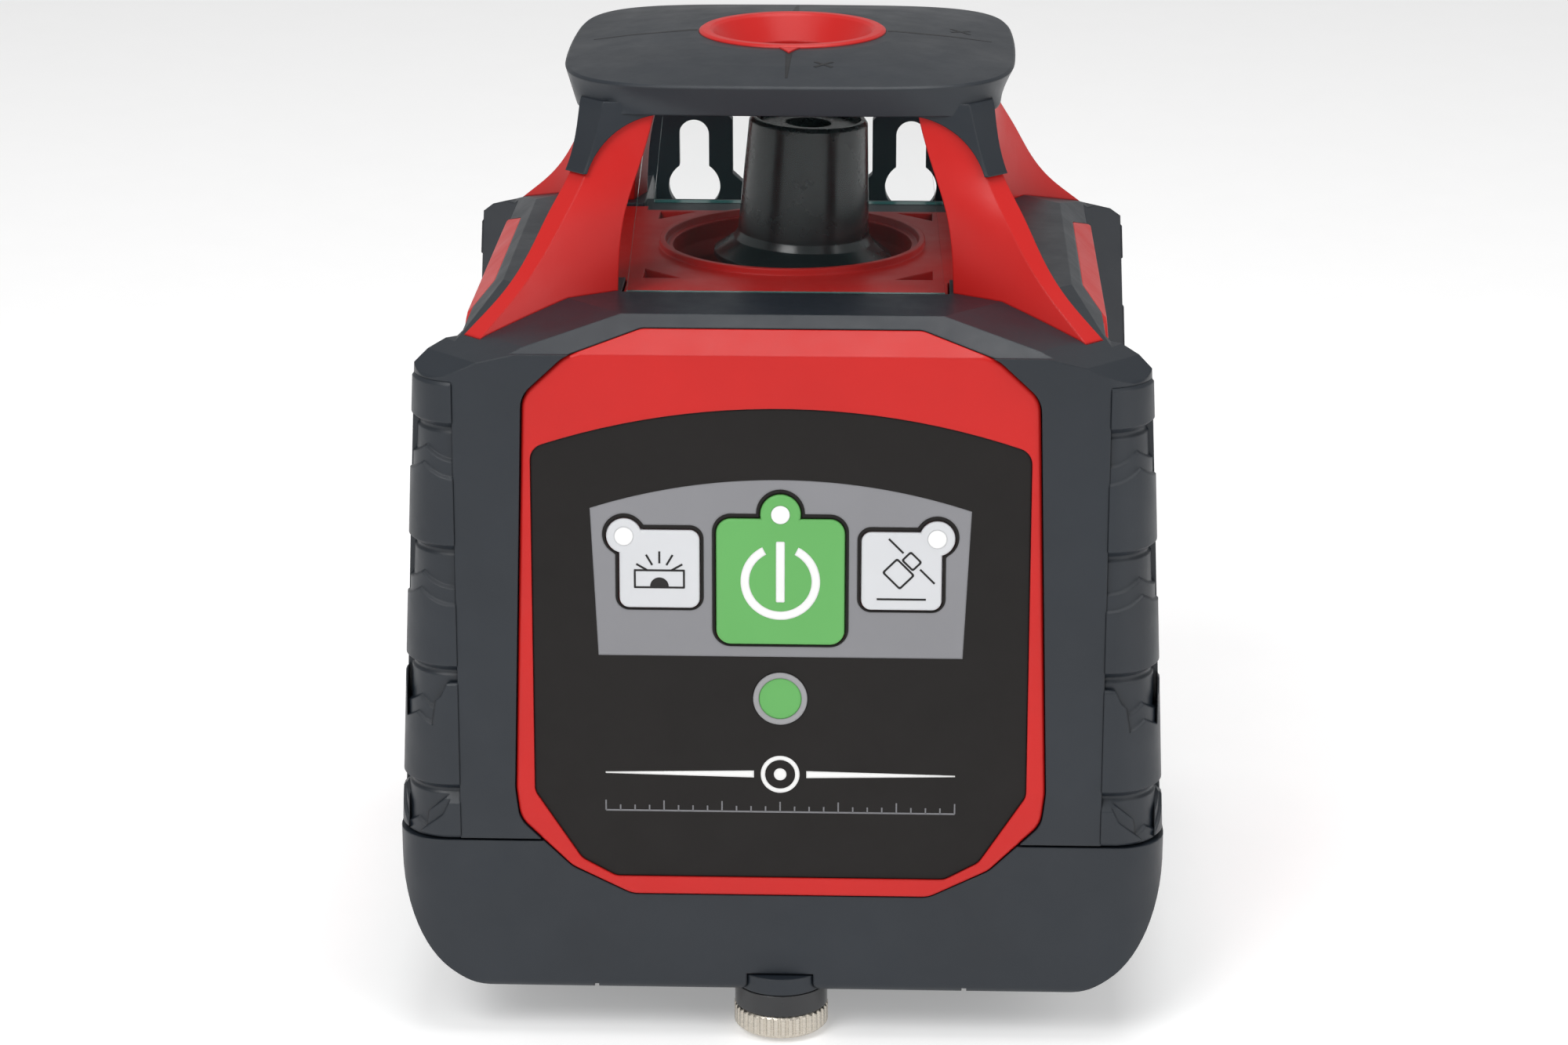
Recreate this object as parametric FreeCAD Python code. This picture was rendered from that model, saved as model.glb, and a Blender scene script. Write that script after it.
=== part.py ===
import FreeCAD, Part
import math
import os

# A self-levelling rotating laser level that stands on four rubber feet.
# Millimetres. +Z is up, the keypad faces -Y, and the origin is the centre of the
# tripod socket's mouth, in the plane that the feet stand on.

V = FreeCAD.Vector

# Driving heights
FOOT_H = 11.0
SEAM_Z = 44.6
SEAM_GAP = 0.3
SHOULDER_Z = 143.8
PAD_TOP_Z = 141.8
DECK_Z = 153.4
CAVITY_TOP_Z = 143.0
CAP_BOTTOM_Z = 190.0
LEG_TIP_Z = 178.0
CAP_EDGE_Z = 196.6
CAP_TOP_Z = 199.4

# Body plan, as half sizes of a square with rounded corners
BASE_HALF_X = 79.7
BASE_HALF_Y = 79.0
SHELL_LOW = 77.0
SHELL_HIGH = 72.1
SIDE_RECESS = 6.3
CORNER_R = 10.0
WALL = 3.5
LEAN_DEG = math.degrees(math.atan((SHELL_LOW - SHELL_HIGH) / (SHOULDER_Z - SEAM_Z)))

# Bumpers
BUMPER_LOW = 79.5
BUMPER_HIGH = 75.2
PAD_EDGE = 65.5
GROOVE_FIRST_Z = 55.0
GROOVE_PITCH = 25.6
GROOVE_COUNT = 4
GROOVE_DEPTH = 1.7

# Front panel, keys and windows, in face coordinates: x across, u up the face from the seam
PANEL_HALF = 53.0
PANEL_LOW_U = -11.8
PANEL_HIGH_U = 107.0
SIDE_LOW_U = 2.0
REAR_HIGH_U = 88.0
PANEL_DEEP = 2.0
PANEL_PROUD = 2.0
SIDE_PROUD = 1.0
PANEL_FIT = 0.15
RIM_W = 2.8
OVERLAY_W = 1.0
OVERLAY_T = 0.5
KEY_TRAVEL = 0.5
KEY_STEM_W = -6.3
KEY_GAP = 0.25
KEY_FRONT_W = 2.1

# Lantern and rotor
TRAY_Z = 152.7
RING_R = 28.85
WELL_R = 25.0
ARM_HALF = 33.6
ARM_REACH = 45.5
TRAY_REAR_Y = 30.0
REAR_STEP_Z = 151.4
ROTOR_FOOT_R = 14.25
ROTOR_TOP_R = 12.7
ROTOR_TOP_Z = 180.7
SKIRT_R = 19.25
SKIRT_Z = 151.0
PIVOT_Z = 100.0
REST_LEAN_DEG = 2.5
RUN_FIT = 0.05

# The brow, where each side tips back from its crease to the edge of the deck
BROW_Z = 147.5
BROW_TOP_HALF = 64.0
BROW_TOP_HALF_SIDE = 60.0
HOOD_U = 101.0
HOOD_DEPTH = 9.0

# Battery door and its thumb screw
DOOR_HALF_X = 38.5
DOOR_FRONT_Y = -69.0
HINGE_Y = -24.5
HINGE_Z = 13.2
KNUCKLE_R = 2.2
SCREW_Y = -71.5
KNOB_R = 9.75
FLOOR_T = 3.0

# Drive belt
BELT_Z = 131.5
BELT_H = 3.0
BELT_R_ROTOR = 15.3
BELT_R_MOTOR = 4.3
MOTOR_Y = 24.0
MOTOR_LOW_Z = 109.5


def box(x0, x1, y0, y1, z0, z1):
    return Part.makeBox(x1 - x0, y1 - y0, z1 - z0, V(x0, y0, z0))


def cyl(r, z0, z1, x=0.0, y=0.0):
    return Part.makeCylinder(r, z1 - z0, V(x, y, z0))


def tube(r_out, r_in, z0, z1, x=0.0, y=0.0):
    return cyl(r_out, z0, z1, x, y).cut(cyl(r_in, z0 - 1, z1 + 1, x, y))


def rod_x(r, x0, x1, y, z):
    return Part.makeCylinder(r, x1 - x0, V(x0, y, z), V(1, 0, 0))


def rod_y(r, y0, y1, x, z):
    return Part.makeCylinder(r, y1 - y0, V(x, y0, z), V(0, 1, 0))


def loft(wires, ruled=True):
    return Part.makeLoft(wires, True, ruled)


def fuse(shapes):
    whole = shapes[0]
    for shape in shapes[1:]:
        whole = whole.fuse(shape)
    return whole.removeSplitter()


def rounded_wire(a, b, r, z):
    """A rectangle of half sizes a and b with corner radius r, at height z."""
    k = r * (1 - math.sqrt(0.5))
    edges = []
    for sx, sy in ((1, 1), (-1, 1), (-1, -1), (1, -1)):
        first = V(sx * a, sy * (b - r), z)
        second = V(sx * (a - r), sy * b, z)
        if sx * sy < 0:
            first, second = second, first
        edges.append(Part.Arc(first, V(sx * (a - k), sy * (b - k), z), second).toShape())
    corners = [(edge.Vertexes[0].Point, edge.Vertexes[1].Point) for edge in edges]
    lines = []
    for i in range(4):
        start = corners[i][1]
        end = corners[(i + 1) % 4][0]
        lines.append(Part.LineSegment(start, end).toShape())
    return Part.Wire([e for pair in zip(edges, lines) for e in pair])


def polygon(points, z=0.0):
    vectors = [V(x, y, z) for x, y in points]
    return Part.makePolygon(vectors + vectors[:1])


def plate(points, z0, z1):
    return Part.Face(polygon(points, z0)).extrude(V(0, 0, z1 - z0))


def extrude_y(points, y0, y1):
    """A prism along Y from a list of (x, z) points."""
    vectors = [V(x, y0, z) for x, z in points]
    return Part.Face(Part.makePolygon(vectors + vectors[:1])).extrude(V(0, y1 - y0, 0))


def turned(shape, degrees):
    copy = shape.copy()
    copy.rotate(V(0, 0, 0), V(0, 0, 1), degrees)
    return copy


def mirrored_quarters(points):
    """The (x, y) points of one quarter, mirrored left to right."""
    return points + [(-x, y) for x, y in reversed(points)]


def revolve(points):
    vectors = [V(r, 0, z) for r, z in points]
    face = Part.Face(Part.makePolygon(vectors + vectors[:1]))
    return face.revolve(V(0, 0, 0), V(0, 0, 1), 360)


def on_face(shape, side=0):
    """Puts a shape from face coordinates (x, u, w outwards) on the leaning front, or another side."""
    placed = shape.copy()
    placed.rotate(V(0, 0, 0), V(1, 0, 0), 90 - LEAN_DEG)
    placed.translate(V(0, -SHELL_LOW, SEAM_Z))
    return turned(placed, side)


def lean(shape):
    """Tips the laser unit about the gimbal's Y axis, as it rests when the power is off."""
    copy = shape.copy()
    copy.rotate(V(0, 0, PIVOT_Z), V(0, 1, 0), REST_LEAN_DEG)
    return copy


def save(name, shape):
    if not shape.isValid():
        print("not valid:", name)
    shape.exportStep("parts/" + name + ".step")
    print(name, len(shape.Solids), round(shape.Volume))


def save_group(name, shapes):
    save(name, Part.makeCompound(shapes))


def shell_half(z):
    return SHELL_LOW - (SHELL_LOW - SHELL_HIGH) * (z - SEAM_Z) / (SHOULDER_Z - SEAM_Z)


# ---------------------------------------------------------------- housing


def above_shoulders():
    """The space over the four corners of the deck, which slope down and round over."""
    profile = [(96.0, DECK_Z), (124.0, 148.6), (136.0, 145.9), (143.0, 142.6), (147.0, 139.0)]
    reach = 90.0
    outline = [(total / math.sqrt(2), z) for total, z in profile]
    outline += [(reach * 1.5, profile[-1][1]), (reach * 1.5, DECK_Z + 20), (outline[0][0], DECK_Z + 20)]
    wedge = extrude_y(outline, -reach, reach)
    return fuse([turned(wedge, 45 + turn) for turn in (0, 90, 180, 270)])


def pad_corner():
    """The plan of the front right pad, as a tall block."""
    arm = 100.0
    corner = [(PAD_EDGE, -arm), (arm, -arm), (arm, -PAD_EDGE), (PAD_EDGE + 3.0, -PAD_EDGE - 1.0)]
    corner.append((PAD_EDGE + 1.0, -PAD_EDGE - 3.0))
    return plate(corner, SEAM_Z - 5, PAD_TOP_Z)


def flush_block():
    """The thicker shell between and above the pads, almost level with them."""
    set_back = 0.3
    sections = []
    for z in (SEAM_Z + SEAM_GAP, DECK_Z + 1):
        half = bumper_half(z) - set_back
        sections.append(rounded_wire(half, half, CORNER_R + 1.0, z))
    block = loft(sections).common(box(-99, 99, -99, 99, 0, DECK_Z))
    pads = [turned(pad_corner(), turn) for turn in (0, 90, 180, 270)]
    return block.cut(Part.makeCompound(pads))


def upper_block():
    """The solid outside of the upper shell, without its hollow."""
    wires = []
    for z in (SEAM_Z + SEAM_GAP, DECK_Z):
        half = shell_half(z)
        wires.append(rounded_wire(half, half, CORNER_R, z))
    block = fuse([loft(wires), flush_block()]).cut(above_shoulders())
    return block.cut(brow()).cut(side_recesses())


def crease_w(side):
    """How far the crease under the brow stands out from the plain shell."""
    return PANEL_PROUD if side in ("front", "rear") else SIDE_PROUD - SIDE_RECESS


def brow():
    """What is cut away above the crease on all four sides."""
    cutters = []
    u0 = (BROW_Z - SEAM_Z) / math.cos(math.radians(LEAN_DEG))
    u1 = (DECK_Z - SEAM_Z) / math.cos(math.radians(LEAN_DEG))
    out = 20.0
    for side, degrees in SIDES.items():
        top_half = BROW_TOP_HALF if side in ("front", "rear") else BROW_TOP_HALF_SIDE
        low_w = crease_w(side)
        high_w = top_half - shell_half(DECK_Z)
        over = 1.0
        end_w = high_w + (high_w - low_w) * over / (u1 - u0)
        profile = [(low_w, u0), (out, u0), (out, u1 + over), (end_w, u1 + over)]
        points = [V(-90, u, w) for w, u in profile]
        prism = Part.Face(Part.makePolygon(points + points[:1])).extrude(V(180, 0, 0))
        cutters.append(on_face(prism, degrees))
    return fuse(cutters)


def side_recesses():
    """The two shallow recesses that hold the left and right panels."""
    inner = 58.0
    outer = 66.5
    outline = [(-inner, -SIDE_RECESS), (inner, -SIDE_RECESS), (outer, 3.0), (-outer, 3.0)]
    points = [V(x, -2.0, w) for x, w in outline]
    prism = Part.Face(Part.makePolygon(points + points[:1])).extrude(V(0, 125, 0))
    return Part.makeCompound([on_face(prism, SIDES[side]) for side in ("left", "right")])


def rear_channel():
    """A step behind the tray that falls away to the rear, between the two rear pillars."""
    half = 34.5
    step_end = 46.5
    back = 80.0
    fall = math.tan(math.radians(20.0)) * (back - step_end)
    outline = [(TRAY_REAR_Y + 0.3, REAR_STEP_Z), (step_end, REAR_STEP_Z), (back, REAR_STEP_Z - fall)]
    outline += [(back, DECK_Z + 2), (TRAY_REAR_Y + 0.3, DECK_Z + 2)]
    points = [V(-half, y, z) for y, z in outline]
    return Part.Face(Part.makePolygon(points + points[:1])).extrude(V(2 * half, 0, 0))


def tray_shape(grow, z0, z1):
    """The tray's outline: a square with an arm to the front, the left and the right."""
    half = ARM_HALF + grow
    reach = ARM_REACH + grow
    rear = TRAY_REAR_Y + grow
    inner = ARM_HALF - abs(grow)
    middle = box(-half, half, -reach, rear, z0, z1)
    left_arm = box(-reach, -inner, -half, half, z0, z1)
    right_arm = box(inner, reach, -half, half, z0, z1)
    return fuse([middle, left_arm, right_arm])


def panel_outline(grow, low_u, high_u):
    """The many-sided outline of a side panel, in face coordinates."""
    right = [(30.8, low_u), (43.1, low_u + 6.0), (PANEL_HALF + 0.8, low_u + 16.3)]
    right += [(PANEL_HALF + 1.6, low_u + 23.0), (PANEL_HALF - 0.8, high_u - 12.5)]
    right += [(43.5, high_u - 4.4), (28.4, high_u)]
    wire = polygon(mirrored_quarters(right))
    sharp_corners = 2
    return wire.makeOffset2D(grow, sharp_corners) if grow else wire


def rounded_panel(grow, w0, w1, radius, low_u=PANEL_LOW_U, high_u=PANEL_HIGH_U):
    """The panel outline as a block, with its upright corners rounded."""
    block = Part.Face(panel_outline(grow, low_u, high_u)).extrude(V(0, 0, w1 - w0))
    block.translate(V(0, 0, w0))
    upright = [e for e in block.Edges if abs(e.Vertexes[0].Z - e.Vertexes[-1].Z) > 0.5]
    return block.makeFillet(radius, upright)


def panel_blank(side, grow, extra):
    """A panel's block with the hood that fills the brow above the crease."""
    face_w = crease_w(side) if side != "rear" else PANEL_PROUD
    back_w = face_w - PANEL_DEEP - (PANEL_PROUD if side in ("front", "rear") else SIDE_PROUD)
    low_u = PANEL_LOW_U if side == "front" else SIDE_LOW_U
    high_u = REAR_HIGH_U if side == "rear" else PANEL_HIGH_U
    block = rounded_panel(grow, back_w, face_w + extra, 6.0, low_u, high_u)
    if side == "rear":
        return block
    hood = rounded_panel(grow, face_w - HOOD_DEPTH, face_w + extra, 6.0, low_u, high_u)
    return fuse([block, hood.common(box(-99, 99, HOOD_U - grow, 130, -30, 30))])


SCREW_POSTS = [(sx * 50.0, sy * 60.5) for sx in (-1, 1) for sy in (-1, 1)]
SIDES = {"front": 0, "right": 90, "rear": 180, "left": 270}



def key_wall_holes():
    """Holes in the front wall for the three key stems and the receiver window."""
    holes = [Part.makeCylinder(2.6, 12, V(x, u, -8)) for x, u in KEY_STEMS.values()]
    holes.append(Part.makeCylinder(3.6, 12, V(0, IR_U, -8)))
    return on_face(fuse(holes))


def main_housing():
    outer = upper_block()
    inner_low = SHELL_LOW - WALL
    inner_high = shell_half(CAVITY_TOP_Z) - WALL
    low = rounded_wire(inner_low - SIDE_RECESS, inner_low, CORNER_R - WALL, SEAM_Z)
    high = rounded_wire(inner_high - SIDE_RECESS, inner_high, CORNER_R - WALL, CAVITY_TOP_Z)
    backing = box(-38, 38, 56, inner_high, CAVITY_TOP_Z - 5, CAVITY_TOP_Z + 1)
    shell = outer.cut(loft([low, high]).cut(backing)).cut(rear_channel())
    shell = shell.cut(tray_shape(0.3, CAVITY_TOP_Z - 1, DECK_Z + 1))
    for side, degrees in SIDES.items():
        shell = shell.cut(on_face(panel_blank(side, PANEL_FIT, 8.0), degrees))
    posts = [cyl(5.0, SEAM_Z + 3, CAVITY_TOP_Z + 1, x, y) for x, y in SCREW_POSTS]
    bosses = [on_face(Part.makeCylinder(2.5, 5.5, V(x, u, -8))) for x, u in BOARD_POSTS]
    shell = fuse([shell] + posts + bosses)
    for x, y in SCREW_POSTS:
        shell = shell.cut(cyl(1.75, SEAM_Z, 66, x, y))
    return shell.cut(key_wall_holes())


def base_block(inset):
    """The outside of the base, or its hollow when inset is the wall's thickness."""
    half_x = BASE_HALF_X - inset
    half_y = BASE_HALF_Y - inset
    floor = FOOT_H + (FLOOR_T if inset else 0)
    flat_half = 58.0
    round_z = 41.0
    top = SEAM_Z - SEAM_GAP
    plan = loft([rounded_wire(half_x, half_y, CORNER_R - inset, z) for z in (floor, top)])
    arc_x = half_x - flat_half
    arc_z = round_z - floor
    middle = math.sqrt(0.5)
    right = [
        Part.LineSegment(V(-flat_half, 0, floor), V(flat_half, 0, floor)).toShape(),
        ellipse_quarter(flat_half, round_z, arc_x, arc_z, middle),
        Part.LineSegment(V(half_x, 0, round_z), V(half_x, 0, top)).toShape(),
        Part.LineSegment(V(half_x, 0, top), V(-half_x, 0, top)).toShape(),
        Part.LineSegment(V(-half_x, 0, top), V(-half_x, 0, round_z)).toShape(),
        ellipse_quarter(-flat_half, round_z, -arc_x, arc_z, middle),
    ]
    front = Part.Face(Part.Wire(Part.__sortEdges__(right)))
    front.translate(V(0, -100, 0))
    block = plan.common(front.extrude(V(0, 200, 0)))
    return block.common(soft_bottom(floor, top, half_y))


def ellipse_quarter(cx, cz, rx, rz, middle):
    """A quarter from (cx, cz - rz) out to (cx + rx, cz), as a rational curve of degree two."""
    curve = Part.BezierCurve()
    curve.setPoles([V(cx, 0, cz - rz), V(cx + rx, 0, cz - rz), V(cx + rx, 0, cz)])
    curve.setWeight(2, middle)
    return curve.toShape()


def soft_bottom(floor, top, half_y):
    """A block whose lower front and rear edges are rounded."""
    radius = 2.0
    block = box(-100, 100, -half_y, half_y, floor, top)
    low = [e for e in block.Edges if e.BoundBox.ZMax < floor + 0.1 and e.BoundBox.XLength > 100]
    return block.makeFillet(radius, low)


def seam_lip():
    """A thick band inside the base's rim, with the tongue that centres the upper shell."""
    top = SEAM_Z - SEAM_GAP
    low = 31.0
    tongue_half = SHELL_LOW - WALL - 0.25
    tongue_z = SEAM_Z + 2.5
    band = loft([rounded_wire(BASE_HALF_X - 2, BASE_HALF_Y - 2, CORNER_R - 2, z) for z in (low, top)])
    band = band.common(base_block(1.0))
    r = CORNER_R - WALL
    draft = 0.35
    tongue_x = tongue_half - SIDE_RECESS
    tongue = loft([rounded_wire(tongue_x, tongue_half, r, top - 1),
                   rounded_wire(tongue_x - draft, tongue_half - draft, r, tongue_z)])
    thick = 2.2
    hollow = [rounded_wire(tongue_x - thick, tongue_half - thick, r - 2, z) for z in (low - 1, tongue_z + 1)]
    return fuse([band, tongue]).cut(loft(hollow))


def base_housing():
    shell = base_block(0).cut(base_block(3.0))
    lip_ring = seam_lip()
    posts = [cyl(5.0, FOOT_H + 1, SEAM_Z + 2.9, x, y) for x, y in SCREW_POSTS]
    columns = [cyl(4.0, FOOT_H + 1, CHASSIS_Z - 8, x, y) for x, y in CHASSIS_FEET]
    seat = cyl(22.0, 3.0, FOOT_H + 1)
    tower = cyl(16.0, FOOT_H, 30.0)
    lug = box(-12, 12, -77, -59.6, FOOT_H + FLOOR_T + 0.6, FOOT_H + FLOOR_T + 6)
    edge = DOOR_HALF_X + 0.4
    spans = ((-edge - 4, -edge), (edge, edge + 4))
    walls = [box(x0, x1, -77, -59.6, FOOT_H + 1, FOOT_H + FLOOR_T + 6) for x0, x1 in spans]
    bridge = box(-edge - 4, edge + 4, -77, -59.6, FOOT_H + FLOOR_T + 3, FOOT_H + FLOOR_T + 6)
    hinge_lugs = [rod_x(3.2, x0, x1, HINGE_Y, HINGE_Z + 1.5) for x0, x1 in spans]
    base = fuse([shell, lip_ring, seat, tower, lug, bridge] + walls + posts + columns + hinge_lugs)
    base = base.cut(on_face(panel_blank("front", PANEL_FIT, 8.0)))
    base = base.cut(box(-100, 100, -100, 100, -20, 2.99))
    base = base.cut(cyl(12.0, 0, 26.0))
    gap = 0.4
    door_half = DOOR_HALF_X + gap
    opening = box(-door_half, door_half, DOOR_FRONT_Y - gap, HINGE_Y, 10, FOOT_H + FLOOR_T + 0.55)
    knuckle_room = rod_x(KNUCKLE_R + gap, -door_half, door_half, HINGE_Y, HINGE_Z)
    sweep = box(-door_half, door_half, HINGE_Y - 1, HINGE_Y + KNUCKLE_R + gap, 10, HINGE_Z)
    base = base.cut(opening).cut(knuckle_room).cut(sweep)
    base = base.cut(rod_x(0.8, -edge - 3, edge + 3, HINGE_Y, HINGE_Z))
    slot_half = 3.4
    base = base.cut(box(-4, 4, SCREW_Y - slot_half, SCREW_Y + slot_half, 10, 22))
    base = base.cut(cyl(KNOB_R + 0.45, 10, FOOT_H + FLOOR_T + 1.0, 0, SCREW_Y))
    for x in (-DOOR_HALF_X, DOOR_HALF_X):
        base = base.cut(box(x - 0.5, x + 0.5, -90, DOOR_FRONT_Y, FOOT_H - 2, FOOT_H + 1.2))
    for x, y in SCREW_POSTS:
        base = base.cut(cyl(1.75, 10, SEAM_Z + 5, x, y)).cut(cyl(3.7, 10, 13.5, x, y))
    for x, y in FEET:
        base = base.cut(cyl(3.0, 10, 12.5, x, y))
    return base


def bumper_half(z):
    return BUMPER_LOW - (BUMPER_LOW - BUMPER_HIGH) * (z - SEAM_Z) / (SHOULDER_Z - SEAM_Z)


def bumper_solid():
    """The whole ring of bumper surface, with its V grooves and a soft top edge."""
    def ring(z, inset):
        half = bumper_half(z) - inset
        return rounded_wire(half, half, CORNER_R + 1.0 - inset, z)

    sections = [ring(SEAM_Z + SEAM_GAP, 0.6), ring(SEAM_Z + 1.0, 0.0)]
    for i in range(GROOVE_COUNT):
        z = GROOVE_FIRST_Z + i * GROOVE_PITCH
        sections += [ring(z - 2.6, 0.0), ring(z - 0.3, GROOVE_DEPTH)]
        sections += [ring(z + 0.3, GROOVE_DEPTH), ring(z + 1.7, 0.0)]
    sections += [ring(PAD_TOP_Z - 0.7, 0.0), ring(PAD_TOP_Z, 0.5)]
    return loft(sections)


def bumper_layer(depth):
    """The outermost layer of the bumper surface, that thick."""
    wires = []
    for z in (SEAM_Z, PAD_TOP_Z):
        half = bumper_half(z) - depth
        wires.append(rounded_wire(half, half, CORNER_R + 1.0 - depth, z))
    return bumper_solid().cut(loft(wires))


def bumper_facets():
    """The sunken three-cornered facets under each groove, for the front of the front right pad."""
    inner = []
    outer = []
    edge = 77.5
    for i in range(GROOVE_COUNT):
        z = GROOVE_FIRST_Z + i * GROOVE_PITCH
        inner.append(extrude_y([(67.4, z), (edge, z), (edge, z - 8.6)], -95, -60))
        outer.append(extrude_y([(67.4, z), (edge, z), (edge, z - 11.4), (69.8, z - 5.0)], -95, -60))
    deep = bumper_layer(1.3).common(Part.makeCompound(inner))
    shallow = bumper_layer(0.6).common(Part.makeCompound(outer))
    return deep, shallow


def bumpers():
    """Four corner pads, in the order front right, rear right, rear left, front left."""
    pad = bumper_solid().cut(upper_block()).common(pad_corner())
    for layer in bumper_facets():
        pad = pad.cut(layer).cut(layer.mirror(V(0, 0, 0), V(1, 1, 0)))
    return [turned(pad, turn) for turn in (0, 90, 180, 270)]


# ---------------------------------------------------------------- front panel and keys

KEY_FACES = {
    "power": {"size": (26.1, 26.4, 3.0), "centre": (0.0, 56.0), "tab": (0.0, 70.2, 4.1)},
    "tilt": {"size": (16.3, 16.3, 2.0), "centre": (-24.6, 58.5), "tab": (-31.8, 65.4, 3.6)},
    "slope": {"size": (16.3, 16.3, 2.0), "centre": (24.6, 58.5), "tab": (31.8, 65.4, 3.6)},
}
KEY_STEMS = {name: spec["centre"] for name, spec in KEY_FACES.items()}
LED_R = 1.9
IR_U = 31.1
IR_RING_R = 5.55
IR_R = 4.4
BOARD_POSTS = [(-33.0, 40.0), (33.0, 40.0), (-33.0, 74.0), (33.0, 74.0)]


def key_block(spec, grow, w0, w1):
    """A rounded square with a round tab for its light."""
    width, height, radius = spec["size"]
    cx, cu = spec["centre"]
    wire = rounded_wire(width / 2 + grow, height / 2 + grow, radius + grow, w0)
    square = Part.Face(wire).extrude(V(0, 0, w1 - w0))
    square.translate(V(cx, cu, 0))
    tab_x, tab_u, tab_r = spec["tab"]
    return fuse([square, Part.makeCylinder(tab_r + grow, w1 - w0, V(tab_x, tab_u, w0))])


def front_panel():
    panel = panel_blank("front", 0.0, 0.0)
    rim = [e for e in panel.Edges if e.BoundBox.ZMin > PANEL_PROUD - 0.01]
    panel = panel.makeFillet(0.9, rim)
    panel = panel.cut(overlay_block(0.1, OVERLAY_W, PANEL_PROUD + 1))
    for spec in KEY_FACES.values():
        panel = panel.cut(key_block(spec, KEY_GAP, -PANEL_DEEP - 1, PANEL_PROUD + 1))
        panel = panel.cut(key_block(spec, 1.3, -PANEL_DEEP - 1, 0.0))
    panel = panel.cut(Part.makeCylinder(3.6, 10, V(0, IR_U, -5)))
    return on_face(panel).cut(brow())




def overlay_block(grow, w0, w1):
    """The black overlay: an arched top, straight sides and cut lower corners."""
    half = 50.6 + grow
    side_top = 83.6
    low_u = -7.8 - grow
    arc_u = 92.1 + grow
    bend = grow * 0.7
    right = [V(34.0, low_u, w0), V(41.0 + bend, -4.0 - bend, w0), V(half, 10.5, w0), V(half, side_top, w0)]
    left = [V(-point.x, point.y, w0) for point in reversed(right)]
    edges = [Part.LineSegment(left[-1], right[0])]
    edges += [Part.LineSegment(a, b) for a, b in zip(right, right[1:])]
    edges.append(Part.Arc(right[-1], V(0, arc_u, w0), left[0]))
    edges += [Part.LineSegment(a, b) for a, b in zip(left, left[1:])]
    face = Part.Face(Part.Wire([edge.toShape() for edge in edges]))
    block = face.extrude(V(0, 0, w1 - w0))
    upright = [e for e in block.Edges if len(e.Vertexes) == 2 and e.BoundBox.ZLength > 0.4]
    return block.makeFillet(3.5, upright)


def keypad_overlay():
    overlay = overlay_block(0.0, OVERLAY_W, OVERLAY_W + OVERLAY_T)
    for spec in KEY_FACES.values():
        overlay = overlay.cut(key_block(spec, KEY_GAP, 0, 5))
    return on_face(overlay.cut(Part.makeCylinder(IR_RING_R, 10, V(0, IR_U, -1))))


def key(spec):
    """A key cap with its retaining flange and the stem that reaches the switch."""
    cap = key_block(spec, 0.0, -1.4, KEY_FRONT_W)
    rim = [e for e in cap.Edges if e.BoundBox.ZMin > KEY_FRONT_W - 0.01]
    cap = cap.makeFillet(0.4, rim)
    flange = key_block(spec, 1.0, -1.4, -0.4)
    cx, cu = spec["centre"]
    stem = Part.makeCylinder(2.0, 5.0, V(cx, cu, KEY_STEM_W))
    tab_x, tab_u, _ = spec["tab"]
    led_hole = Part.makeCylinder(LED_R, 10, V(tab_x, tab_u, -3))
    return on_face(fuse([cap, flange, stem]).cut(led_hole))


def key_led(spec):
    tab_x, tab_u, _ = spec["tab"]
    return on_face(Part.makeCylinder(LED_R, KEY_FRONT_W + 0.1 + 1.4, V(tab_x, tab_u, -1.4)))


def front_pieces():
    save("front_panel", front_panel())
    save("keypad_overlay", keypad_overlay())
    for name, spec in KEY_FACES.items():
        save(name + "_key", key(spec))
        save(name + "_led_window", key_led(spec))
    ring = Part.makeCylinder(IR_RING_R, 0.8, V(0, IR_U, OVERLAY_W)).cut(
        Part.makeCylinder(IR_R, 3, V(0, IR_U, 0)))
    save("receiver_ring", on_face(ring))
    window = Part.makeCylinder(IR_R, 0.6, V(0, IR_U, OVERLAY_W))
    stem = Part.makeCylinder(3.4, 6.0, V(0, IR_U, -5.0))
    save("receiver_window", on_face(fuse([window, stem])))
    board = Part.Face(rounded_wire(37, 21, 2, -9.6)).extrude(V(0, 0, 1.6))
    board.translate(V(0, 57, 0))
    save("keypad_board", on_face(board))
    button = KEY_STEM_W - KEY_TRAVEL - 0.1 + 7.2
    save_group("key_switches", [
        on_face(fuse([plate(square(x, u, 3.0), -8, -7.2), Part.makeCylinder(1.5, button, V(x, u, -7.2))]))
        for x, u in KEY_STEMS.values()])


def square(x, y, half):
    return [(x - half, y - half), (x + half, y - half), (x + half, y + half), (x - half, y + half)]


def side_panel(side):
    """A plain coloured panel with a raised rim round a sunken field."""
    face_w = crease_w(side)
    high = REAR_HIGH_U if side == "rear" else PANEL_HIGH_U - 8
    panel = panel_blank(side, 0.0, 0.0)
    rim = [e for e in panel.Edges if e.BoundBox.ZMin > face_w - 0.01]
    panel = panel.makeFillet(0.7, rim)
    field = rounded_panel(-RIM_W * 2.2, face_w - 0.8, face_w + 1, 5.0, SIDE_LOW_U, high)
    return on_face(panel.cut(field), SIDES[side]).cut(brow())


# ---------------------------------------------------------------- lantern

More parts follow.
